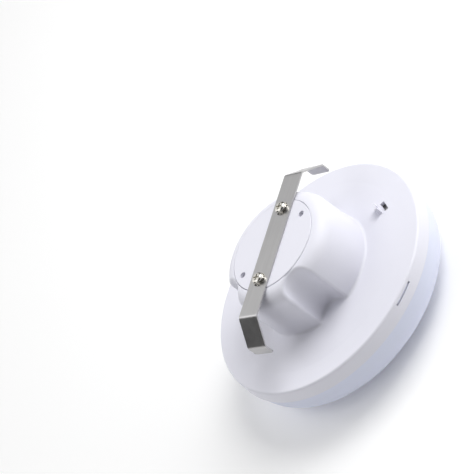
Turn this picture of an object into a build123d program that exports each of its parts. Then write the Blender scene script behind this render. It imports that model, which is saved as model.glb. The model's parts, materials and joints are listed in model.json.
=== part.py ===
"""Round surface-mounted LED ceiling light with a driver neck and a sprung bracket strap.

Millimetres.  +Z runs along the lamp's axis, from the lens to the bracket.  The origin is at the
middle of the lens's front, and the strap lies along X.  The lamp hangs lens down: its back plate
meets the ceiling's lower face, and its neck goes through the ceiling's cut-out.
"""
from build123d import *
from math import cos, hypot, radians, sin, tan
import os

# ---- overall sizes ---------------------------------------------------------------------------
rim_radius = 85.0          # widest radius of the housing
lens_depth = 28.0          # front of the lens to the housing's front edge
rim_depth = 9.7            # housing's front edge to the flat of the back plate
neck_height = 40.6         # flat of the back plate to the top of the neck
neck_radius = 43.4         # neck at its foot

# ---- housing ---------------------------------------------------------------------------------
wall = 2.0
rim_draft = 1.1            # how much the rim narrows towards the back
rim_round = 1.6            # rounded outer edge of the back plate
seat_width = 13.0          # flat ring that meets the ceiling, inside the rounded edge
plate_rise = 1.4           # how far the plate climbs from that ring to the neck
neck_draft = 0.9           # how much the neck narrows towards its shoulder
foot_fillet = 1.8          # neck's foot on the back plate
groove_radius = 12.0       # two upright grooves in the neck's side
groove_angle = 135.0       # from +X, one on each side
groove_depth = 8.65        # into the neck's side, measured at its shoulder
groove_round = 2.0         # softened edges of a groove

# ---- neck cover ------------------------------------------------------------------------------
cover_radius = 32.6
cover_gap = 0.35           # fine groove seen around the cover
cover_thick = 3.0
cover_proud = 0.4          # cover's face above the top of the neck
cover_edge = 0.35          # broken edge of the cover
ledge_width = 2.4          # ledge that the cover lies on
ledge_thick = 2.0
pit_clear = 0.45           # between a sunk screw's sleeve and the ledge
pit_angles = (-44.0, 136.0)
pit_radius = 2.2
pit_depth = 5.0
pit_wall = 0.9
pit_floor = 1.2
post_height = 10.0         # posts that the cover screws bite into

# ---- strap -----------------------------------------------------------------------------------
strap_width = 16.0
strap_thick = 1.0
strap_flat = 52.0          # half length of the flat middle
strap_slope = 14.2         # each arm's slanted leg goes out and down by this
strap_tip = 7.6            # upright end of an arm
strap_bend = 2.0           # inside radius of each bend
tip_corner = 2.0           # rounded corners of a tip
flex_beyond = 1.65         # an arm starts to flex this far outside the cover's opening
flex_gap = 0.3             # between an arm and the middle of the strap

# ---- fasteners -------------------------------------------------------------------------------
thread_play = 0.05         # around a shank in what it screws into
pass_play = 0.2            # around a shank in what it passes through
m4_shank = 2.0
m4_head_radius = 4.0
m4_head_height = 2.7
m4_head_round = 1.5
m4_length = 12.0
cross_width = 0.9
cross_length = 4.6
cross_depth = 1.5
washer_root = 3.8
washer_radius = 4.7
washer_thick = 0.5
washer_teeth = 12
tooth_width = 1.1
insert_radius = 2.8
insert_length = 8.0
insert_cap = 1.5           # boss below an insert
boss_wall = 1.6
boss_clear = 0.45          # between an insert's boss and the ledge
small_shank = 1.1
small_head_radius = 1.9
small_head_height = 1.3
small_cross_length = 2.4
small_cross_depth = 0.7
cover_screw_length = 7.0
pcb_screw_length = 4.6
board_screw_bite = 2.6     # board screws beyond the board

# ---- rim slots and lens ----------------------------------------------------------------------
slot_count = 3
slot_angle = -105.0        # first slot; the others follow at even spacing
slot_length = 16.8
slot_height = 1.4
slot_below_plate = 2.9     # middle of a slot below the flat of the back plate
hook_play = 1.6            # slot length left free at each end of a hook
hook_clear = 0.2           # around a hook's barb in its slot
hook_sunk = 0.8            # barb's end below the rim's outer face
lens_wall = 1.8
lens_step = 1.2            # lens's side inside the housing's front edge
lens_draft = 3.0           # degrees, on the lens's straight side
crown_radius = 170.0       # gentle crown between the lens's flat front and its shoulder
crown_angle = 12.0
shoulder_radius = 18.0
lip_thick = 1.6
lip_play = 0.4             # lens's lip inside the rim
lip_height = 3.0
lip_root = 1.6             # lip's overlap with the lens's side

# ---- tether eye and its window ---------------------------------------------------------------
eye_angle = -46.1
eye_reach = 59.0           # middle of the eye's wall from the axis
eye_length = 7.2
eye_thick = 2.2
eye_height = 4.6           # above the back plate
eye_round = 1.2
eye_hole_length = 3.2
eye_hole_height = 2.6
window_reach = 63.4
window_length = 8.6
window_width = 3.1

# ---- light source ----------------------------------------------------------------------------
board_radius = 70.0
board_thick = 1.2
board_below_plate = 4.0    # board's back face below the flat of the back plate
board_screw_clear = 6.4    # between the driver tray's edge and a board screw's boss
board_screw_count = 4
board_screw_start = 20.0
board_boss_radius = 3.2
chip_rings = ((24.0, 8), (40.0, 14), (63.0, 24))
chip_side = 2.8
chip_long = 3.5
chip_height = 0.8

# ---- driver ----------------------------------------------------------------------------------
tray_flange = 4.0          # tray's edge under the back plate, beyond the neck's bore
tray_play = 0.8            # around the tray's wall in the neck
tray_wall = 1.6
tray_wall_height = 5.0
pcb_length = 52.0
pcb_width = 36.0
pcb_thick = 1.6
pcb_gap = 4.0              # tray floor to the underside of the driver board
pcb_corner = 3.5           # its screws in from its edges
post_radius = 2.8
lead_radius = 0.8
lead_pitch = 2.8
lead_reach = 4.2           # leads stand off the output connector by this
lead_bend = 2.4
lead_slot_length = 8.0
lead_slot_width = 4.0
connector_length = 5.0     # output connector
connector_width = 8.0
connector_height = 6.0
connector_inset = 0.7      # in from the driver board's edge
connector_y = 2.0

# ---- components on the driver board: middles, then sizes --------------------------------------
transformer_at = (11.0, -3.0)
core_length, core_width, core_height = 16.0, 8.0, 16.0
core_bar = 3.4             # bars of the ferrite frame around the winding
winding_width = 18.0
winding_play = 0.2
winding_round = 1.5
bulk_at = (-2.5, 10.2)
bulk_radius, bulk_height = 6.3, 17.0
output_at = (12.5, 12.2)
output_radius, output_height = 4.5, 13.0
can_round = 0.8
can_neck_low, can_neck_high, can_neck_depth = 2.0, 3.0, 0.5
film_at = (-13.0, -3.0)
film_size = (6.0, 13.0, 11.0)
film_round = 1.2
block_round = 0.3
rectifier_at = (-3.5, -13.2)
rectifier_size = (8.0, 6.0, 3.2)
inductor_at = (-4.2, -3.4)
inductor_radius, inductor_height = 4.2, 10.0
chip_at = (22.4, -7.6)
chip_size = (4.0, 5.0, 1.6)
fuse_at = (-13.5, 13.3)
fuse_radius, fuse_length, fuse_round = 1.8, 9.0, 0.6
terminal_x = -21.3
terminal_length, terminal_width, terminal_height = 8.0, 12.0, 11.0
terminal_pitch = 5.5
terminal_chamfer = 1.0
terminal_mouth = (3.6, 1.4, 5.2)   # width, lowest and highest above the board
terminal_mouth_reach = 5.0         # how far a mouth goes in
terminal_well = 3.4                # depth of a screw's well
terminal_screw_radius = 1.7
terminal_screw_height = 2.0
terminal_slot = (0.6, 0.7)         # a screw slot's width and depth

# ---- cable entry -----------------------------------------------------------------------------
entry_drop = 1.1           # its middle below halfway between the neck's foot and the cover posts
entry_bore = 3.2
entry_body = 5.0
entry_flange = 6.6
entry_flange_thick = 1.4
entry_pad = 1.4            # pad's ring around the flange
entry_pad_proud = 2.2      # pad's face above the bottom of the groove
entry_pad_inside = 0.8
entry_play = 0.1

# ---- worked-out places -----------------------------------------------------------------------
rim_z = lens_depth
plate_z = rim_z + rim_depth
inner_plate_z = plate_z - wall
foot_z = plate_z + plate_rise
cover_z = plate_z + neck_height
cover_top = cover_z + cover_proud
ledge_z = cover_top - cover_thick
opening_radius = cover_radius + cover_gap
ledge_radius = opening_radius - ledge_width
neck_top_radius = neck_radius - neck_draft
shoulder_round = neck_top_radius - opening_radius
pit_reach = ledge_radius - pit_clear - pit_radius - pit_wall
strap_screw_reach = ledge_radius - boss_clear - insert_radius - boss_wall
flex_reach = opening_radius + flex_beyond
shoulder_z = cover_z - shoulder_round
plate_edge = rim_radius - rim_draft
seat_inner = plate_edge - rim_round - seat_width
strap_top = cover_top + strap_thick
tip_x = strap_flat + strap_slope
pit_z = cover_top - pit_depth
sleeve_z = pit_z - pit_floor
post_z = sleeve_z - post_height
groove_reach = neck_top_radius - groove_depth + groove_radius
rim_inner_radius = rim_radius - wall
slot_z = plate_z - slot_below_plate
slot_face = rim_radius - rim_draft * (slot_z - rim_z) / rim_depth
lens_radius = rim_radius - lens_step
lip_radius = rim_inner_radius - rim_draft - lip_play
board_top = plate_z - board_below_plate
board_z = board_top - board_thick
tray_edge = neck_radius - wall + tray_flange
board_screw_reach = tray_edge + board_screw_clear + board_boss_radius
tray_radius = neck_radius - wall - tray_play
pcb_z = inner_plate_z + pcb_gap
pcb_top = pcb_z + pcb_thick
entry_z = (foot_z + post_z) / 2 - entry_drop
groove_bottom = groove_reach - groove_radius
connector_x = pcb_length / 2 - connector_length / 2 - connector_inset
lead_x = pcb_length / 2 + lead_reach
lead_z = pcb_top + connector_height / 2
entry_face = groove_bottom + entry_pad_proud
entry_back = groove_bottom - wall - entry_pad_inside


def spot(reach, angle):
    """The x and y at that reach from the axis and angle from +X."""
    return reach * cos(radians(angle)), reach * sin(radians(angle))


def rod(radius, low, high, x=0.0, y=0.0):
    """An upright cylinder from low to high."""
    lowest = (Align.CENTER, Align.CENTER, Align.MIN)
    return Pos(x, y, low) * Cylinder(radius, high - low, align=lowest)


def ring(outer, inner, low, high, x=0.0, y=0.0):
    """An upright tube from low to high."""
    return rod(outer, low, high, x, y) - rod(inner, low, high, x, y)


def block(length, width, low, high, x=0.0, y=0.0):
    """An upright box from low to high, centred at x, y."""
    lowest = (Align.CENTER, Align.CENTER, Align.MIN)
    return Pos(x, y, low) * Box(length, width, high - low, align=lowest)


def turned(points):
    """A closed outline of (radius, z) points, revolved about the axis."""
    outline = Polyline(*[(r, 0, z) for r, z in points], close=True)
    return revolve(make_face(outline), Axis.Z)


def joined(shapes):
    """All the shapes as one solid."""
    total = shapes[0]
    for shape in shapes[1:]:
        total = total + shape
    return total


def save(name, *solids):
    """Writes one node, which may be a group of separate solids."""
    shape = solids[0] if len(solids) == 1 else Compound(children=list(solids))
    shape.label = name
    export_step(shape, f"parts/{name}.step")


# ---- housing ---------------------------------------------------------------------------------
def neck_body(inset=0.0):
    """The neck's outer form, or with an inset the hollow inside it."""
    low = inner_plate_z - 1 if inset else plate_z
    with BuildPart() as made:
        with BuildSketch(Plane.XZ):
            with BuildLine():
                foot = (neck_radius - inset, low)
                side_top = (neck_top_radius - inset, shoulder_z)
                shoulder = CenterArc((opening_radius, shoulder_z), shoulder_round - inset, 0, 90)
                Line(foot, side_top)
                crown = shoulder @ 1
                Line(crown, (0, crown.Y))
                Line((0, crown.Y), (0, low))
                Line((0, low), foot)
            make_face()
        revolve(axis=Axis.Z)
    return made.part


def grooves(radius, low, high):
    """Upright cutters for the two grooves in the neck's side."""
    places = [spot(groove_reach, side * groove_angle) for side in (1, -1)]
    return joined([rod(radius, low, high, x, y) for x, y in places])


def beside_groove(edge):
    """Whether an edge lies along the side of one of the grooves."""
    middles = [spot(groove_reach, side * groove_angle) for side in (1, -1)]
    for along in (0.1, 0.5, 0.9):
        point = edge @ along
        nearest = min(hypot(point.X - x, point.Y - y) for x, y in middles)
        if abs(nearest - groove_radius) > 0.01:
            return False
    return True


def rim_slots():
    """Cutters through the rim for the lens's hooks."""
    cutters = []
    for i in range(slot_count):
        turn = Rot(0, 0, slot_angle + i * 360 / slot_count)
        cutters.append(turn * Pos(rim_radius, 0, slot_z) * Box(4 * wall, slot_length, slot_height))
    return cutters


def cover_post(angle):
    """A post for a cover screw, with a rib out to the neck's side."""
    x, y = spot(pit_reach, angle)
    rib_end = neck_top_radius - wall / 2
    rib = block(rib_end - pit_reach, wall, post_z, sleeve_z, (rib_end + pit_reach) / 2)
    return rod(pit_radius + pit_wall, post_z, sleeve_z, x, y) + Rot(0, 0, angle) * rib


def tether_eye():
    """A small rounded lug on the back plate with an oblong hole through it."""
    low = plate_z - wall / 2
    lug = block(eye_thick, eye_length, low, foot_z + eye_height, eye_reach)
    lug = fillet(lug.edges().filter_by(Axis.X).group_by(Axis.Z)[-1], eye_round)
    hole = Pos(eye_reach, 0, foot_z + eye_height / 2) * Box(
        2 * eye_thick, eye_hole_length, eye_hole_height
    )
    return Rot(0, 0, eye_angle) * (lug - hole)


def entry_rod(radius, start, end):
    """A cylinder along the cable entry's axis, between two distances from the lamp's axis."""
    along = Cylinder(radius, end - start, align=(Align.CENTER, Align.CENTER, Align.MIN))
    return Rot(0, 0, groove_angle) * Pos(start, 0, entry_z) * Rot(0, 90, 0) * along


def board_screw_spots():
    step = 360 / board_screw_count
    return [spot(board_screw_reach, board_screw_start + i * step) for i in range(board_screw_count)]


def housing():
    body = turned([
        (0, rim_z), (rim_radius, rim_z), (plate_edge, plate_z), (seat_inner, plate_z),
        (neck_radius, foot_z), (0, foot_z),
    ])
    back_edge = [
        e for e in body.edges().filter_by(GeomType.CIRCLE) if abs(e.radius - plate_edge) < 0.01
    ]
    body = fillet(back_edge, rim_round)
    body = body + neck_body() - grooves(groove_radius, foot_z, cover_z + 1)
    groove_sides = [
        e for e in body.edges() if beside_groove(e) and e.bounding_box().max.Z > foot_z + foot_fillet
    ]
    body = fillet(groove_sides, groove_round)
    foot = [
        e for e in body.edges()
        if abs(e.bounding_box().max.Z - foot_z) < 0.01 and abs(e.bounding_box().min.Z - foot_z) < 0.01
        and hypot((e @ 0.5).X, (e @ 0.5).Y) < neck_radius + 0.2
    ]
    body = fillet(foot, foot_fillet)
    hollow = turned([
        (0, rim_z - 1), (rim_inner_radius, rim_z - 1),
        (rim_inner_radius - rim_draft, inner_plate_z), (0, inner_plate_z),
    ])
    inside = neck_body(wall) - grooves(groove_radius + wall, inner_plate_z - 2, cover_z)
    inside = inside - rod(neck_radius, ledge_z - ledge_thick, cover_z)
    body = body - hollow - inside
    body = body - rod(ledge_radius, ledge_z - 2 * ledge_thick, cover_z + 1)
    body = body - rod(opening_radius, ledge_z, cover_z + 1)
    posts = joined([cover_post(a) for a in pit_angles]) - grooves(groove_radius, plate_z, cover_z)
    pad = entry_rod(entry_flange + entry_pad, entry_back, entry_face)
    bosses = [rod(board_boss_radius, board_top, inner_plate_z, x, y) for x, y in board_screw_spots()]
    body = joined([body, posts, pad, tether_eye()] + bosses)
    cuts = [entry_rod(entry_body + entry_play, entry_back - 1, entry_face + 1)]
    cuts.append(Rot(0, 0, eye_angle) * Pos(window_reach, 0, plate_z) * Box(
        window_width, window_length, 4 * wall
    ))
    for angle in pit_angles:
        x, y = spot(pit_reach, angle)
        bottom = pit_z - cover_screw_length - 1
        cuts.append(rod(small_shank + thread_play, bottom, sleeve_z + 1, x, y))
    for x, y in board_screw_spots():
        top = board_top + board_screw_bite + thread_play
        cuts.append(rod(small_shank + thread_play, board_top - 1, top, x, y))
    for cut in rim_slots() + cuts:
        body = body - cut
    return body


# ---- lens ------------------------------------------------------------------------------------
def lens_form(inset):
    """The lens's outer form, or with an inset the hollow inside it."""
    lean = radians(90 - lens_draft)
    crown = radians(crown_angle)
    crown_rise = crown_radius * (1 - cos(crown))
    bend_rise = shoulder_radius * (cos(crown) - cos(lean))
    straight = lens_depth - crown_rise - bend_rise
    reach = crown_radius * sin(crown) + shoulder_radius * (sin(lean) - sin(crown))
    flat = lens_radius - straight * tan(radians(lens_draft)) - reach
    top = rim_z + (1 if inset else 0)
    with BuildPart() as made:
        with BuildSketch(Plane.XZ):
            with BuildLine():
                front = Line((0, inset), (flat, inset))
                gentle = JernArc(front @ 1, (1, 0), crown_radius - inset, crown_angle)
                turn = 90 - lens_draft - crown_angle
                bend = JernArc(gentle @ 1, gentle % 1, shoulder_radius - inset, turn)
                rise = top - (bend @ 1).Y
                side = Line(bend @ 1, bend @ 1 + Vector(rise * tan(radians(lens_draft)), rise))
                Line(side @ 1, (0, top))
                Line((0, top), (0, inset))
            make_face()
        revolve(axis=Axis.Z)
    return made.part


def lens_hook(angle):
    """A springy hook on the lens's lip with a barb that reaches into a rim slot."""
    length = slot_length - 2 * hook_play
    lip_top = rim_z + lip_height
    top = slot_z + slot_height / 2 - hook_clear
    barb_low = slot_z - slot_height / 2 + hook_clear
    barb_radius = slot_face - hook_sunk
    lip_inner = lip_radius - lip_thick
    profile = turned([
        (lip_inner, lip_top), (lip_radius, lip_top), (lip_radius, barb_low),
        (barb_radius, barb_low), (barb_radius, top), (lip_inner, top),
    ])
    sector = block(8 * lip_thick, length, rim_z, top + 1, lip_radius)
    return Rot(0, 0, angle) * (profile & sector)


def lens():
    shell = lens_form(0) - lens_form(lens_wall)
    lip_inner = lip_radius - lip_thick
    lip_outer = lens_radius - lens_wall / 2
    lip = turned([
        (lip_inner, rim_z - lip_root), (lip_outer, rim_z - lip_root), (lip_outer, rim_z),
        (lip_radius, rim_z), (lip_radius, rim_z + lip_height), (lip_inner, rim_z + lip_height),
    ])
    hooks = [lens_hook(slot_angle + i * 360 / slot_count) for i in range(slot_count)]
    return joined([shell, lip] + hooks)


# ---- neck cover ------------------------------------------------------------------------------
def wiring_cover():
    disc = rod(cover_radius, ledge_z, cover_top)
    disc = chamfer(disc.edges().group_by(Axis.Z)[-1], cover_edge)
    for side in (1, -1):
        x = side * strap_screw_reach
        low = ledge_z - insert_length - insert_cap
        disc = disc + rod(insert_radius + boss_wall, low, ledge_z, x)
        disc = disc - rod(insert_radius, ledge_z - insert_length, ledge_z, x)
        disc = disc - rod(m4_shank + pass_play, low + insert_cap / 2, cover_top + 1, x)
    for angle in pit_angles:
        x, y = spot(pit_reach, angle)
        disc = disc + rod(pit_radius + pit_wall, sleeve_z, ledge_z, x, y)
        disc = disc - rod(pit_radius, pit_z, cover_top + 1, x, y)
        disc = disc - rod(small_shank + pass_play, sleeve_z - 1, pit_z + 1, x, y)
    return disc


# ---- strap -----------------------------------------------------------------------------------
def strap_centre():
    plate = block(2 * flex_reach, strap_width, cover_top, strap_top)
    for side in (1, -1):
        hole = rod(m4_shank + pass_play, cover_top - 1, strap_top + 1, side * strap_screw_reach)
        plate = plate - hole
    return plate


def strap_arm():
    """The arm on the +X side: flat end, slanted leg and upright tip."""
    low = strap_top - strap_slope
    with BuildPart() as made:
        with BuildSketch(Plane.XZ):
            with BuildLine() as route:
                FilletPolyline(
                    (flex_reach + flex_gap, strap_top), (strap_flat, strap_top),
                    (tip_x, low), (tip_x, low - strap_tip),
                    radius=strap_bend + strap_thick,
                )
                offset(amount=strap_thick, side=Side.RIGHT)
            make_face()
        extrude(amount=strap_width / 2, both=True)
        tip_edges = made.edges().filter_by(Axis.X).group_by(Axis.Z)[0]
        fillet(tip_edges, tip_corner)
    return made.part


# ---- fasteners -------------------------------------------------------------------------------
def screw(shank, length, head_radius, head_height, head_round, cross):
    """A pan-head screw, head up, with the underside of its head at z = 0."""
    head = rod(head_radius, 0, head_height)
    head = fillet(head.edges().group_by(Axis.Z)[-1], head_round)
    slot_size, depth = cross
    for turn in (0, 90):
        blade = block(slot_size, cross_width, head_height - depth, head_height + 1)
        head = head - Rot(0, 0, turn) * blade
    return head + rod(shank, -length, 0)


def m4_screw():
    cross = (cross_length, cross_depth)
    return screw(m4_shank, m4_length, m4_head_radius, m4_head_height, m4_head_round, cross)


def small_screw(length):
    cross = (small_cross_length, small_cross_depth)
    round_edge = small_head_height / 2
    return screw(small_shank, length, small_head_radius, small_head_height, round_edge, cross)


def tooth_washer():
    disc = rod(washer_root, 0, washer_thick)
    reach = (washer_root - 1 + washer_radius) / 2
    for i in range(washer_teeth):
        tooth = block(washer_radius - washer_root + 1, tooth_width, 0, washer_thick, reach)
        disc = disc + Rot(0, 0, i * 360 / washer_teeth) * tooth
    return disc - rod(m4_shank + pass_play, -1, washer_thick + 1)


# ---- light source ----------------------------------------------------------------------------
def led_board():
    disc = rod(board_radius, board_z, board_top)
    for x, y in board_screw_spots():
        disc = disc - rod(small_shank + pass_play, board_z - 1, board_top + 1, x, y)
    return disc


def led_chips():
    chips = []
    for reach, count in chip_rings:
        for i in range(count):
            chip = block(chip_side, chip_long, board_z - chip_height, board_z, reach)
            chips.append(Rot(0, 0, i * 360 / count) * chip)
    return chips


# ---- driver ----------------------------------------------------------------------------------
def pcb_screw_spots():
    x = pcb_length / 2 - pcb_corner
    y = pcb_width / 2 - pcb_corner
    return [(sx * x, sy * y) for sx in (1, -1) for sy in (1, -1)]


def driver_tray():
    floor = rod(tray_edge, board_top, inner_plate_z)
    rim = ring(tray_radius, tray_radius - tray_wall, inner_plate_z, inner_plate_z + tray_wall_height)
    rim = rim - grooves(groove_radius + wall + tray_play, inner_plate_z, plate_z + neck_height)
    tray = floor + rim
    for x, y in pcb_screw_spots():
        tray = tray + rod(post_radius, inner_plate_z, pcb_z, x, y)
        tray = tray - rod(small_shank + thread_play, inner_plate_z, pcb_z + 1, x, y)
    low, high = board_top - 1, inner_plate_z + 1
    return tray - block(lead_slot_width, lead_slot_length, low, high, lead_x, connector_y)


def driver_board():
    plate = block(pcb_length, pcb_width, pcb_z, pcb_top)
    for x, y in pcb_screw_spots():
        plate = plate - rod(small_shank + pass_play, pcb_z - 1, pcb_top + 1, x, y)
    return plate


def transformer_core():
    """A ferrite frame around the winding."""
    high = pcb_top + core_height
    frame = block(core_length, core_width, pcb_top, high, *transformer_at)
    inside = core_length - 2 * core_bar
    return frame - block(inside, 2 * core_width, pcb_top + core_bar, high - core_bar, *transformer_at)


def transformer_winding():
    low = pcb_top + core_bar + winding_play
    high = pcb_top + core_height - core_bar - winding_play
    length = core_length - 2 * core_bar - 2 * winding_play
    wound = block(length, winding_width, low, high, *transformer_at)
    return fillet(wound.edges().filter_by(Axis.Z), winding_round)


def capacitor(at, radius, height):
    """An upright electrolytic can with a rolled neck."""
    can = rod(radius, pcb_top, pcb_top + height, *at)
    can = fillet(can.edges().group_by(Axis.Z)[-1], can_round)
    low, high = pcb_top + can_neck_low, pcb_top + can_neck_high
    return can - ring(2 * radius, radius - can_neck_depth, low, high, *at)


def moulded_block(size, at, round_edge):
    """A component's moulded block on the driver board, with rounded upright edges."""
    length, width, height = size
    body = block(length, width, pcb_top, pcb_top + height, *at)
    return fillet(body.edges().filter_by(Axis.Z), round_edge)


def fuse_resistor():
    lying = Pos(*fuse_at, pcb_top + fuse_radius) * Rot(0, 90, 0) * Cylinder(fuse_radius, fuse_length)
    return fillet(lying.edges().filter_by(GeomType.CIRCLE), fuse_round)


def terminal_block():
    high = pcb_top + terminal_height
    body = block(terminal_length, terminal_width, pcb_top, high, terminal_x)
    body = chamfer(body.edges().filter_by(Axis.Y).group_by(Axis.Z)[-1], terminal_chamfer)
    width, low_edge, high_edge = terminal_mouth
    for side in (1, -1):
        y = side * terminal_pitch / 2
        mouth_x = terminal_x - terminal_length / 2
        mouth = block(2 * terminal_mouth_reach, width, pcb_top + low_edge, pcb_top + high_edge, mouth_x, y)
        well = rod(terminal_screw_radius + pass_play, high - terminal_well, high + 1, terminal_x, y)
        body = body - mouth - well
    return body


def terminal_screws():
    screws = []
    slot_width, slot_depth = terminal_slot
    low = pcb_top + terminal_height - terminal_well
    high = low + terminal_screw_height
    for side in (1, -1):
        at = (terminal_x, side * terminal_pitch / 2)
        head = rod(terminal_screw_radius, low, high, *at)
        slot = block(4 * terminal_screw_radius, slot_width, high - slot_depth, high + 1, *at)
        screws.append(head - slot)
    return screws


def lead(side):
    """One output lead, from the connector down to the light board."""
    y = connector_y + side * lead_pitch / 2
    start = (connector_x + connector_length / 2, y, lead_z)
    path = FilletPolyline(start, (lead_x, y, lead_z), (lead_x, y, board_top), radius=lead_bend)
    section = Plane(origin=start, z_dir=(1, 0, 0)) * Circle(lead_radius)
    return sweep(section, path=path)


def cable_grommet():
    outer = entry_rod(entry_flange, entry_face, entry_face + entry_flange_thick)
    inner = entry_rod(entry_flange, entry_back - entry_flange_thick, entry_back)
    body = entry_rod(entry_body, entry_back, entry_face)
    start, end = entry_back - entry_flange_thick - 1, entry_face + entry_flange_thick + 1
    return outer + inner + body - entry_rod(entry_bore, start, end)


# ---- files -----------------------------------------------------------------------------------
os.makedirs("parts", exist_ok=True)
save("housing", housing())
save("lens", lens())
save("wiring_cover", wiring_cover())
save("strap_centre", strap_centre())
save("strap_arm_a", strap_arm())
save("strap_arm_b", Rot(0, 0, 180) * strap_arm())
screw_under = strap_top + washer_thick
save("strap_screws", *[Pos(s * strap_screw_reach, 0, screw_under) * m4_screw() for s in (1, -1)])
save("tooth_washers", *[Pos(s * strap_screw_reach, 0, strap_top) * tooth_washer() for s in (1, -1)])
insert_bore = m4_shank + thread_play
save("strap_inserts", *[
    ring(insert_radius, insert_bore, ledge_z - insert_length, ledge_z, s * strap_screw_reach)
    for s in (1, -1)
])
save("cover_screws", *[
    Pos(*spot(pit_reach, a), pit_z) * small_screw(cover_screw_length) for a in pit_angles
])
save("led_board", led_board())
save("led_chips", *led_chips())
save("board_screws", *[
    Pos(x, y, board_z) * Rot(180, 0, 0) * small_screw(board_thick + board_screw_bite)
    for x, y in board_screw_spots()
])
save("driver_tray", driver_tray())
save("driver_board", driver_board())
save("driver_screws", *[
    Pos(x, y, pcb_top) * small_screw(pcb_screw_length) for x, y in pcb_screw_spots()
])
save("transformer_core", transformer_core())
save("transformer_winding", transformer_winding())
save("bulk_capacitor", capacitor(bulk_at, bulk_radius, bulk_height))
save("output_capacitor", capacitor(output_at, output_radius, output_height))
save("film_capacitor", moulded_block(film_size, film_at, film_round))
save("bridge_rectifier", moulded_block(rectifier_size, rectifier_at, block_round))
save("filter_inductor", rod(inductor_radius, pcb_top, pcb_top + inductor_height, *inductor_at))
save("controller_chip", moulded_block(chip_size, chip_at, block_round))
connector_size = (connector_length, connector_width, connector_height)
save("output_connector", moulded_block(connector_size, (connector_x, connector_y), block_round))
save("fuse_resistor", fuse_resistor())
save("terminal_block", terminal_block())
save("terminal_screws", *terminal_screws())
save("cable_grommet", cable_grommet())
save("lead_red", lead(1))
save("lead_black", lead(-1))
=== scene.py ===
"""Looks for a round LED ceiling light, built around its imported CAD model.  Metres, lens down."""
import math

import bmesh
import bpy
from mathutils import Matrix, Vector
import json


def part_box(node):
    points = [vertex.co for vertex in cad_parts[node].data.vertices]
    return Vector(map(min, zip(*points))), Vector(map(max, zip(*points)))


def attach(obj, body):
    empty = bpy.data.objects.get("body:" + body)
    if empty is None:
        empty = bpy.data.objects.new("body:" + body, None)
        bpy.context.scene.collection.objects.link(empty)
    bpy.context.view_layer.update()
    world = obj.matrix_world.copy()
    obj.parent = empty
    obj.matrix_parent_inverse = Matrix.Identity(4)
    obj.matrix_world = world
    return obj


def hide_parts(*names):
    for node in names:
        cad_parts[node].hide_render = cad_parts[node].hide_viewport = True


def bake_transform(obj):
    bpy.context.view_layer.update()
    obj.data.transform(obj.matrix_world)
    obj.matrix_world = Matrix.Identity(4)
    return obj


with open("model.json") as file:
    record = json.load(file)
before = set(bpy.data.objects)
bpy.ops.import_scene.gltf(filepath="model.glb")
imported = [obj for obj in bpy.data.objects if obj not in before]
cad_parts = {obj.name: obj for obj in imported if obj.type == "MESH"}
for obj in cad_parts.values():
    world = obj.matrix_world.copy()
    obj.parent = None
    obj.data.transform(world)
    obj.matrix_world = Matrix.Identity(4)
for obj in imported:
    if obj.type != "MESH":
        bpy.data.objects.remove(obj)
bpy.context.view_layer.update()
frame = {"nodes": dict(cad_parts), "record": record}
nodes = frame["nodes"]

MM = 0.001

# ---- sizes shared with the frame -----------------------------------------------------------
STRAP_LOW, STRAP_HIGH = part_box("strap_centre")
ARM_LOW, ARM_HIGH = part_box("strap_arm_a")


# ---- camera --------------------------------------------------------------------------------
CAMERA_LENS = 138.93
CAMERA_SENSOR = 36.0
CAMERA_CLIP = (0.01, 20.0)
CAMERA_AT = Vector((-0.4855, -0.8204, 0.7144))
CAMERA_RIGHT = Vector((0.28354, -0.67163, -0.68448))
CAMERA_UP = Vector((0.86114, -0.13575, 0.48992))
CAMERA_BACK = Vector((-0.42196, -0.72835, 0.53987))


def add_camera():
    """A long lens looking down on the lamp's back, with the frame turned about its own axis."""
    data = bpy.data.cameras.new("camera")
    data.lens = CAMERA_LENS
    data.sensor_width = CAMERA_SENSOR
    data.clip_start, data.clip_end = CAMERA_CLIP
    camera = bpy.data.objects.new("camera", data)
    turn = Matrix((CAMERA_RIGHT, CAMERA_UP, CAMERA_BACK)).transposed().to_4x4()
    camera.matrix_world = Matrix.Translation(CAMERA_AT) @ turn
    bpy.context.collection.objects.link(camera)
    bpy.context.scene.camera = camera


add_camera()


# ---- shader maths --------------------------------------------------------------------------
class Value:
    """A socket's output.  Arithmetic on it adds Math nodes to its graph."""

    def __init__(self, graph, socket):
        self.graph = graph
        self.socket = socket

    def _math(self, operation, first, second):
        return self.graph.add("ShaderNodeMath", {"operation": operation}, {0: first, 1: second})

    def __add__(self, other):
        return self._math("ADD", self, other)

    __radd__ = __add__

    def __sub__(self, other):
        return self._math("SUBTRACT", self, other)

    def __rsub__(self, other):
        return self._math("SUBTRACT", other, self)

    def __mul__(self, other):
        return self._math("MULTIPLY", self, other)

    __rmul__ = __mul__


class Graph:
    """A node tree that grows by one node at a time."""

    def __init__(self, tree):
        self.tree = tree

    def link(self, value, socket):
        if isinstance(value, Value):
            self.tree.links.new(value.socket, socket)
        else:
            socket.default_value = value

    def add(self, kind, settings, sockets, output=0):
        """A node of that type with its settings made first, then its sockets' values or links."""
        node = self.tree.nodes.new(kind)
        for name, value in settings.items():
            setattr(node, name, value)
        for name, value in sockets.items():
            self.link(value, node.inputs[name])
        return Value(self, node.outputs[output])


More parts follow.
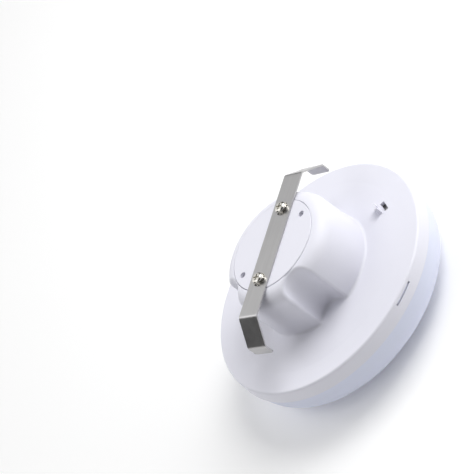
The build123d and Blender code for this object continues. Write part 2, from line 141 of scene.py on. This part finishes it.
class Finish(Graph):
    """A material and its principled shader, built up node by node."""

    def __init__(self, name, **constants):
        self.material = bpy.data.materials.new(name)
        self.material.use_nodes = True
        super().__init__(self.material.node_tree)
        self.tree.nodes.clear()
        self.shader = self.tree.nodes.new("ShaderNodeBsdfPrincipled")
        self.output = self.tree.nodes.new("ShaderNodeOutputMaterial")
        self.link(Value(self, self.shader.outputs[0]), self.output.inputs["Surface"])
        for socket, value in constants.items():
            self.set(socket.replace("_", " "), value)

    def set(self, socket, value):
        """Sets one of the shader's sockets to a number, a colour or a link."""
        self.link(value, self.shader.inputs[socket])

    def place(self, stretch=(1.0, 1.0, 1.0)):
        """Object coordinates, squeezed or stretched along each axis."""
        here = self.add("ShaderNodeTexCoord", {}, {}, "Object")
        return self.add("ShaderNodeMapping", {}, {"Vector": here, "Scale": stretch})

    def noise(self, scale, detail=2.0, stretch=(1.0, 1.0, 1.0)):
        """Soft noise from 0 to 1, scale in cells per metre."""
        sockets = {"Vector": self.place(stretch), "Scale": scale, "Detail": detail}
        return self.add("ShaderNodeTexNoise", {}, sockets)

    def tint(self, factor, first, second):
        """A colour between two, by a factor."""
        sockets = {0: factor, 6: first, 7: second}
        return self.add("ShaderNodeMix", {"data_type": "RGBA"}, sockets, 2)

    def bump(self, height, distance, strength=1.0):
        """Turns the shader's normal by a height, whose full range is that distance."""
        sockets = {"Height": height, "Distance": distance, "Strength": strength}
        self.set("Normal", self.add("ShaderNodeBump", {}, sockets))


def rgba(red, green, blue):
    return (red, green, blue, 1.0)


def moulded(name, dark, light, roughness, grain, depth, **constants):
    """Moulded plastic: a fine spark-eroded grain and slow changes of tone and gloss."""
    finish = Finish(name, **constants)
    slow = finish.noise(45.0, 3.0)
    fine = finish.noise(grain, 3.0)
    finish.set("Base Color", finish.tint(slow, dark, light))
    finish.set("Roughness", roughness - 0.04 + 0.05 * slow + 0.05 * fine)
    finish.bump(fine, depth)
    return finish.material


def plated(name, dark, light, roughness, grain, depth, stretch=(1.0, 1.0, 1.0), **constants):
    """Metal with a grain that may be drawn out along one axis."""
    finish = Finish(name, Metallic=1.0, **constants)
    lines = finish.noise(grain, 4.0, stretch)
    slow = finish.noise(60.0, 2.0)
    finish.set("Base Color", finish.tint(0.6 * lines + 0.4 * slow, dark, light))
    finish.set("Roughness", roughness - 0.06 + 0.10 * lines + 0.05 * slow)
    finish.bump(lines, depth)
    return finish.material


def opal():
    """The lens: milky plastic with a cool cast and a fine leathery grain in its gloss."""
    finish = Finish(
        "opal_lens", IOR=1.49, Subsurface_Weight=0.25, Subsurface_Scale=0.004,
        Subsurface_Radius=(1.0, 1.0, 1.1),
    )
    slow = finish.noise(18.0, 2.0)
    grain = finish.noise(900.0, 3.0)
    finish.set("Base Color", finish.tint(slow, rgba(0.70, 0.735, 0.90), rgba(0.74, 0.77, 0.925)))
    finish.set("Roughness", 0.34 + 0.10 * grain)
    finish.bump(grain, 0.00006)
    return finish.material


def board_mask(name, dark, light, track_height):
    """A circuit board's solder mask, with faint tracks that show through it."""
    finish = Finish(name, IOR=1.5)
    tracks = finish.add("ShaderNodeTexBrick", {"offset": 0.5}, {
        "Vector": finish.place(), "Scale": 160.0, "Mortar Size": 0.06,
        "Color1": rgba(0, 0, 0), "Color2": rgba(0.25, 0.25, 0.25), "Mortar": rgba(1, 1, 1),
    }, 1)
    slow = finish.noise(300.0, 2.0)
    finish.set("Base Color", finish.tint(0.55 * tracks + 0.25 * slow, dark, light))
    finish.set("Roughness", 0.30 + 0.12 * slow)
    finish.bump(tracks, track_height)
    return finish.material


FINISHES = {
    "white_shell": moulded(
        "white_shell", rgba(0.755, 0.755, 0.83), rgba(0.79, 0.79, 0.865), 0.46, 1800.0, 0.00003, IOR=1.5
    ),
    "opal_lens": opal(),
    "strap_steel": plated(
        "strap_steel", rgba(0.41, 0.405, 0.41), rgba(0.53, 0.525, 0.525), 0.30, 700.0, 0.00001,
        (0.04, 1.0, 1.0),
    ),
    "nickel_screw": plated(
        "nickel_screw", rgba(0.62, 0.60, 0.55), rgba(0.80, 0.78, 0.73), 0.20, 900.0, 0.00001
    ),
    "brass": plated("brass", rgba(0.70, 0.50, 0.20), rgba(0.85, 0.66, 0.32), 0.28, 900.0, 0.00001),
    "board_metal": board_mask("board_metal", rgba(0.80, 0.81, 0.80), rgba(0.90, 0.90, 0.89), 0.00002),
    "chip_yellow": moulded(
        "chip_yellow", rgba(0.88, 0.72, 0.18), rgba(0.96, 0.84, 0.30), 0.25, 900.0, 0.00001,
        Subsurface_Weight=0.2, Subsurface_Scale=0.001,
    ),
    "black_plastic": moulded(
        "black_plastic", rgba(0.022, 0.022, 0.024), rgba(0.05, 0.05, 0.052), 0.5, 1600.0, 0.00003
    ),
    "board_green": board_mask("board_green", rgba(0.02, 0.12, 0.05), rgba(0.10, 0.32, 0.12), 0.00003),
    "ferrite": moulded("ferrite", rgba(0.035, 0.035, 0.04), rgba(0.09, 0.09, 0.10), 0.55, 1300.0, 0.00004),
    "tape_yellow": moulded(
        "tape_yellow", rgba(0.72, 0.54, 0.06), rgba(0.86, 0.68, 0.12), 0.3, 500.0, 0.00002
    ),
    "can_sleeve": moulded(
        "can_sleeve", rgba(0.012, 0.02, 0.05), rgba(0.03, 0.04, 0.09), 0.28, 500.0, 0.00001
    ),
    "film_box": moulded("film_box", rgba(0.03, 0.10, 0.38), rgba(0.06, 0.16, 0.50), 0.35, 900.0, 0.00002),
    "ivory_nylon": moulded(
        "ivory_nylon", rgba(0.74, 0.71, 0.60), rgba(0.82, 0.80, 0.70), 0.42, 1200.0, 0.00002
    ),
    "fuse_sleeve": moulded(
        "fuse_sleeve", rgba(0.35, 0.06, 0.04), rgba(0.48, 0.10, 0.07), 0.5, 900.0, 0.00005
    ),
    "terminal_green": moulded(
        "terminal_green", rgba(0.03, 0.26, 0.10), rgba(0.06, 0.36, 0.16), 0.42, 1200.0, 0.00002
    ),
    "grommet_rubber": moulded(
        "grommet_rubber", rgba(0.02, 0.02, 0.02), rgba(0.045, 0.045, 0.045), 0.62, 1400.0, 0.00003
    ),
    "lead_red": moulded("lead_red", rgba(0.42, 0.02, 0.02), rgba(0.56, 0.04, 0.03), 0.42, 1500.0, 0.00002),
    "lead_black": moulded(
        "lead_black", rgba(0.02, 0.02, 0.02), rgba(0.04, 0.04, 0.04), 0.45, 1500.0, 0.00002
    ),
}


def paint(piece, slot):
    piece.data.materials.clear()
    piece.data.materials.append(FINISHES[slot])


for part in frame["record"]["subparts"]:
    paint(nodes[part["node"]], part["material_slot"])


# ---- pieces --------------------------------------------------------------------------------
def place_piece(name, mesh_maker, slot, body, *replaced):
    """Turns a bmesh into a named piece that rides on a body and stands for CAD nodes."""
    mesh = bpy.data.meshes.new(name)
    mesh_maker.to_mesh(mesh)
    mesh_maker.free()
    piece = bpy.data.objects.new(name, mesh)
    bpy.context.collection.objects.link(piece)
    paint(piece, slot)
    if body:
        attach(piece, body)
    if replaced:
        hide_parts(*replaced)
    return piece


def smooth(mesh_maker, sharp_angle=math.radians(32)):
    """Smooth shading with sharp edges where two faces meet at more than that angle."""
    for face in mesh_maker.faces:
        face.smooth = True
    for edge in mesh_maker.edges:
        edge.smooth = not (edge.is_manifold and edge.calc_face_angle(0.0) > sharp_angle)


# ---- toothed washers -----------------------------------------------------------------------
WASHER_LOW, WASHER_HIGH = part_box("tooth_washers")
WASHER_BORE = 2.3 * MM
WASHER_ROOT_SHARE = 0.80        # root of the teeth, as a share of the outer radius
WASHER_TEETH = 12
TOOTH_WIDTH = 1.1 * MM
TOOTH_SUNK = 0.3 * MM           # a tooth's root inside the ring
TOOTH_THICK_SHARE = 0.8
TOOTH_TWIST = math.radians(24)
WASHER_STEPS = 48


def tooth_washer(at_x):
    """A ring with short teeth around it, each twisted so that its corners bite."""
    thick = WASHER_HIGH.z - WASHER_LOW.z
    middle = (WASHER_LOW.z + WASHER_HIGH.z) / 2
    outer = WASHER_HIGH.y
    root = outer * WASHER_ROOT_SHARE
    made = bmesh.new()
    section = [made.verts.new(p) for p in (
        (WASHER_BORE, 0, -thick / 2), (root, 0, -thick / 2),
        (root, 0, thick / 2), (WASHER_BORE, 0, thick / 2),
    )]
    outline = [made.edges.new((section[i], section[(i + 1) % 4])) for i in range(4)]
    bmesh.ops.spin(
        made, geom=section + outline, cent=(0, 0, 0), axis=(0, 0, 1), angle=2 * math.pi,
        steps=WASHER_STEPS, use_merge=True,
    )
    size = (outer - root + TOOTH_SUNK, TOOTH_WIDTH, TOOTH_THICK_SHARE * thick)
    reach = (outer + root - TOOTH_SUNK) / 2
    for i in range(WASHER_TEETH):
        tooth = bmesh.ops.create_cube(made, size=1.0)["verts"]
        bmesh.ops.scale(made, verts=tooth, vec=size)
        bmesh.ops.rotate(made, verts=tooth, matrix=Matrix.Rotation(TOOTH_TWIST, 3, "X"))
        bmesh.ops.translate(made, verts=tooth, vec=(reach, 0, 0))
        around = Matrix.Rotation(i * 2 * math.pi / WASHER_TEETH, 3, "Z")
        bmesh.ops.rotate(made, verts=tooth, cent=(0, 0, 0), matrix=around)
    bmesh.ops.recalc_face_normals(made, faces=made.faces)
    bmesh.ops.translate(made, verts=made.verts, vec=(at_x, 0, middle))
    smooth(made)
    return made


def add_washers():
    """One under each strap screw; the first stands for the CAD pair."""
    reach = WASHER_HIGH.x - WASHER_HIGH.y
    washer_a = tooth_washer(reach)
    place_piece("tooth_washer_a", washer_a, "nickel_screw", "cover_body", "tooth_washers")
    place_piece("tooth_washer_b", tooth_washer(-reach), "nickel_screw", "cover_body")


add_washers()


# ---- driver details ------------------------------------------------------------------------
LATHE_STEPS = 48
WIRE_RADIUS = 0.35 * MM
WIRE_SIDES = 8
WIRE_STEPS = 40
FLANGE_THICK = 1.3 * MM
WINDING_DEPTH = 1.5 * MM
CAN_EDGE = 1.0 * MM             # sleeve left around a can's bare top
CAN_RIM = 0.4 * MM
CAN_DISH = 0.15 * MM
CAN_STEPS = 40
TOP_CLEAR = 0.02 * MM
VENT_LENGTH_SHARE = 1.4         # length of a vent line over the top's radius
VENT_WIDTH = 0.35 * MM
VENT_HEIGHT = 0.12 * MM


def wire_turn(made, radius, at):
    """One closed turn of wire around an upright axis."""
    disc = bmesh.ops.create_circle(
        made, cap_ends=False, radius=WIRE_RADIUS, segments=WIRE_SIDES
    )["verts"]
    bmesh.ops.rotate(made, verts=disc, matrix=Matrix.Rotation(math.pi / 2, 3, "X"))
    bmesh.ops.translate(made, verts=disc, vec=Vector(at) + Vector((radius, 0, 0)))
    edges = list({e for v in disc for e in v.link_edges})
    bmesh.ops.spin(
        made, geom=disc + edges, cent=at, axis=(0, 0, 1), angle=2 * math.pi, steps=WIRE_STEPS,
        use_merge=True,
    )


def add_inductor():
    """The filter inductor: a ferrite drum with bare copper turns between its flanges."""
    low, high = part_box("filter_inductor")
    middle = (low + high) / 2
    radius = (high.x - low.x) / 2
    core = radius - WINDING_DEPTH
    lower, upper = low.z + FLANGE_THICK, high.z - FLANGE_THICK
    made = bmesh.new()
    outline = (
        (0, low.z), (radius, low.z), (radius, lower), (core, lower),
        (core, upper), (radius, upper), (radius, high.z), (0, high.z),
    )
    points = [made.verts.new((middle.x + r, middle.y, z)) for r, z in outline]
    edges = [made.edges.new(pair) for pair in zip(points, points[1:])]
    bmesh.ops.spin(
        made, geom=points + edges, cent=(middle.x, middle.y, 0), axis=(0, 0, 1),
        angle=2 * math.pi, steps=LATHE_STEPS, use_merge=True,
    )
    bmesh.ops.remove_doubles(made, verts=made.verts, dist=0.000001)
    bmesh.ops.recalc_face_normals(made, faces=made.faces)
    smooth(made)
    place_piece("inductor_drum", made, "ferrite", "housing_body", "filter_inductor")
    turns = bmesh.new()
    count = int((high.z - low.z - 2 * FLANGE_THICK) / (2 * WIRE_RADIUS))
    for i in range(count):
        height = lower + WIRE_RADIUS * (2 * i + 1)
        wire_turn(turns, radius - WIRE_RADIUS, (middle.x, middle.y, height))
    bmesh.ops.recalc_face_normals(turns, faces=turns.faces)
    smooth(turns, math.pi)
    place_piece("inductor_turns", turns, "brass", "housing_body")


def add_can_tops():
    """Bare aluminium tops on the electrolytic cans, pressed in with a vent cross."""
    for node in ("bulk_capacitor", "output_capacitor"):
        low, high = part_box(node)
        middle = (low + high) / 2
        radius = (high.x - low.x) / 2 - CAN_EDGE
        made = bmesh.new()
        bmesh.ops.create_circle(made, cap_ends=True, radius=radius, segments=CAN_STEPS)
        bmesh.ops.inset_region(made, faces=made.faces, thickness=CAN_RIM, depth=0.0)
        top = max(made.faces, key=lambda f: f.calc_area())
        pressed = bmesh.ops.extrude_face_region(made, geom=[top])["geom"]
        dish = [g for g in pressed if isinstance(g, bmesh.types.BMVert)]
        bmesh.ops.translate(made, verts=dish, vec=(0, 0, -CAN_DISH))
        bmesh.ops.delete(made, geom=[top], context="FACES_ONLY")
        for turn in (0, 1):
            bar = bmesh.ops.create_cube(made, size=1.0)["verts"]
            size = (VENT_LENGTH_SHARE * radius, VENT_WIDTH, VENT_HEIGHT)
            bmesh.ops.scale(made, verts=bar, vec=size)
            bmesh.ops.rotate(made, verts=bar, matrix=Matrix.Rotation(turn * math.pi / 2, 3, "Z"))
            bmesh.ops.translate(made, verts=bar, vec=(0, 0, -VENT_HEIGHT))
        bmesh.ops.translate(made, verts=made.verts, vec=(middle.x, middle.y, high.z + TOP_CLEAR))
        bmesh.ops.recalc_face_normals(made, faces=made.faces)
        smooth(made)
        place_piece(node.replace("capacitor", "can_top"), made, "board_metal", "housing_body")


add_inductor()
add_can_tops()


# ---- strap ---------------------------------------------------------------------------------
STRAP_FLAT = 52 * MM            # half length of the flat middle
STRAP_BEND = 3 * MM             # outside radius of each bend
STRAP_TURN = math.radians(45)   # each bend turns the strip by this
TIP_CORNER = 2 * MM


def strap_half(side):
    """Half of the one-piece strap, from its middle over the neck's edge to an upright tip."""
    width = STRAP_HIGH[1] - STRAP_LOW[1]
    thick = STRAP_HIGH[2] - STRAP_LOW[2]
    top = STRAP_HIGH[2]
    tip_reach = ARM_HIGH[0]
    tip_low = ARM_LOW[2]
    slope = tip_reach - STRAP_FLAT
    tangent = STRAP_BEND * math.tan(STRAP_TURN / 2)
    made = bmesh.new()
    ends = [made.verts.new((0.0, y, top)) for y in (-width / 2, width / 2)]
    edge = [made.edges.new(ends)]

    def run(length, heading, steps):
        nonlocal edge
        for _ in range(steps):
            grown = bmesh.ops.extrude_edge_only(made, edges=edge)["geom"]
            verts = [g for g in grown if isinstance(g, bmesh.types.BMVert)]
            edge = [g for g in grown if isinstance(g, bmesh.types.BMEdge)]
            shift = Vector((math.cos(heading), 0, -math.sin(heading))) * (length / steps)
            bmesh.ops.translate(made, verts=verts, vec=shift)

    def turn(heading):
        nonlocal edge
        here = edge[0].verts[0].co
        inwards = Vector((math.sin(heading), 0, math.cos(heading))) * STRAP_BEND
        centre = Vector((here.x, 0, here.z)) - inwards
        spun = bmesh.ops.spin(
            made, geom=edge, cent=centre, axis=(0, 1, 0), angle=STRAP_TURN, steps=8,
        )["geom_last"]
        edge = [g for g in spun if isinstance(g, bmesh.types.BMEdge)]

    slant = slope / math.cos(STRAP_TURN) - 2 * tangent
    run(STRAP_FLAT - tangent, 0.0, 40)
    turn(0.0)
    run(slant, STRAP_TURN, 6)
    turn(STRAP_TURN)
    run(edge[0].verts[0].co.z - tip_low, 2 * STRAP_TURN, 4)
    bmesh.ops.bevel(
        made, geom=list(edge[0].verts), offset=TIP_CORNER, segments=6, profile=0.5,
        affect="VERTICES", material=-1,
    )
    bmesh.ops.recalc_face_normals(made, faces=made.faces)
    upper = max(made.faces, key=lambda f: f.calc_center_median().z)
    if upper.normal.z < 0:
        bmesh.ops.reverse_faces(made, faces=made.faces)
    bmesh.ops.solidify(made, geom=made.faces, thickness=thick)
    if side < 0:
        bmesh.ops.rotate(made, verts=made.verts, matrix=Matrix.Rotation(math.pi, 3, "Z"))
    smooth(made)
    return made


def add_strap():
    """Both halves, each shaped from the strap's middle on the cover out to its own arm's tip; both are
    baked in place and ride on no body.
    """
    halves = (
        ("strap_half_a", 1, "arm_a", ("strap_arm_a", "strap_centre")),
        ("strap_half_b", -1, "arm_b", ("strap_arm_b",)),
    )
    for name, side, arm, replaced in halves:
        piece = place_piece(name, strap_half(side), "strap_steel", None, *replaced)
        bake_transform(piece)


add_strap()


# ---- floor and light -----------------------------------------------------------------------
LAMP_MIDDLE = (0.0, 0.0, 0.04)
KEY_AT = (0.85, -0.42, 1.0)
KEY_SIZE = (0.9, 0.9)
KEY_POWER = 13.6
SKY_BASE = 0.04                 # strength all round
SKY_SEEN = 1.0                  # strength behind the lamp, as seen directly
SKY_PATCHES = (                 # direction, cosine of the angle where it ends, strength
    ((0.00, 0.79, 0.62), 0.5, 0.90),
    ((-0.56, 0.56, 0.62), 0.5, 1.35),
    ((0.71, -0.71, 0.05), 0.6, 1.80),
    ((0.00, 0.00, -1.00), 0.5, 1.30),
)
SKY_FLAG = ((-0.54, 0.73, 0.42), 0.80)
FLOOR_DROP = 0.5 * MM
FLOOR_HOLE = 55 * MM            # hidden by the lens; lets light reach the lens's front
FLOOR_REACH = 3.0
FLOOR_STEPS = 64
FLOOR_GLOW = 0.07


def add_floor():
    """A pale sheet just below the lens, open under it and clear when seen from below."""
    made = bmesh.new()
    bmesh.ops.create_circle(made, cap_ends=False, radius=FLOOR_HOLE, segments=FLOOR_STEPS)
    grown = bmesh.ops.extrude_edge_only(made, edges=made.edges[:])["geom"]
    outer = [g for g in grown if isinstance(g, bmesh.types.BMVert)]
    spread = FLOOR_REACH / FLOOR_HOLE
    bmesh.ops.scale(made, verts=outer, vec=(spread, spread, 1.0))
    bmesh.ops.translate(made, verts=made.verts, vec=(0, 0, -FLOOR_DROP))
    bmesh.ops.recalc_face_normals(made, faces=made.faces)
    if next(iter(made.faces)).normal.z < 0:
        bmesh.ops.reverse_faces(made, faces=made.faces)
    mesh = bpy.data.meshes.new("floor")
    made.to_mesh(mesh)
    made.free()
    floor = bpy.data.objects.new("floor", mesh)
    bpy.context.collection.objects.link(floor)
    finish = Finish("floor_paper", Roughness=0.9, Emission_Strength=FLOOR_GLOW)
    finish.set("Base Color", rgba(0.96, 0.96, 0.96))
    finish.set("Emission Color", rgba(1.0, 1.0, 1.0))
    below = finish.add("ShaderNodeNewGeometry", {}, {}, "Backfacing")
    clear = finish.add("ShaderNodeBsdfTransparent", {}, {})
    paper = Value(finish, finish.shader.outputs[0])
    one_sided = finish.add("ShaderNodeMixShader", {}, {0: below, 1: paper, 2: clear})
    finish.link(one_sided, finish.output.inputs["Surface"])
    floor.data.materials.append(finish.material)


def add_panel(name, place, aim, size, power):
    """A soft box light at a place, turned towards a point."""
    data = bpy.data.lights.new(name, "AREA")
    data.shape = "RECTANGLE"
    data.size, data.size_y = size
    data.energy = power
    lamp = bpy.data.objects.new(name, data)
    turn = (Vector(aim) - Vector(place)).to_track_quat("-Z", "Y").to_matrix().to_4x4()
    lamp.matrix_world = Matrix.Translation(place) @ turn
    bpy.context.collection.objects.link(lamp)


def add_sky():
    """A studio lit in soft patches, with one dark flag on the lamp's far left."""
    world = bpy.data.worlds.new("studio")
    bpy.context.scene.world = world
    world.use_nodes = True
    sky = Graph(world.node_tree)
    direction = sky.add("ShaderNodeTexCoord", {}, {}, "Generated")

    def patch(aim, end_cosine, gain):
        """A soft patch around a direction, out to the angle with that cosine."""
        sockets = {0: direction, 1: Vector(aim).normalized()}
        towards = sky.add("ShaderNodeVectorMath", {"operation": "DOT_PRODUCT"}, sockets, "Value")
        sockets = {"Value": towards, "From Min": end_cosine, "To Max": gain}
        return sky.add("ShaderNodeMapRange", {"interpolation_type": "SMOOTHSTEP"}, sockets)

    light = SKY_BASE
    for aim, end_cosine, gain in SKY_PATCHES:
        light = light + patch(aim, end_cosine, gain)
    light = light * (1 - patch(*SKY_FLAG, 1.0))
    seen = sky.add("ShaderNodeLightPath", {}, {}, "Is Camera Ray")
    background = sky.tree.nodes["Background"]
    sky.link(rgba(1.0, 1.0, 1.0), background.inputs["Color"])
    sky.link(SKY_SEEN * seen + (1 - seen) * light, background.inputs["Strength"])


add_floor()
add_sky()
add_panel("key_light", KEY_AT, LAMP_MIDDLE, KEY_SIZE, KEY_POWER)
bpy.context.scene.view_settings.view_transform = "Standard"
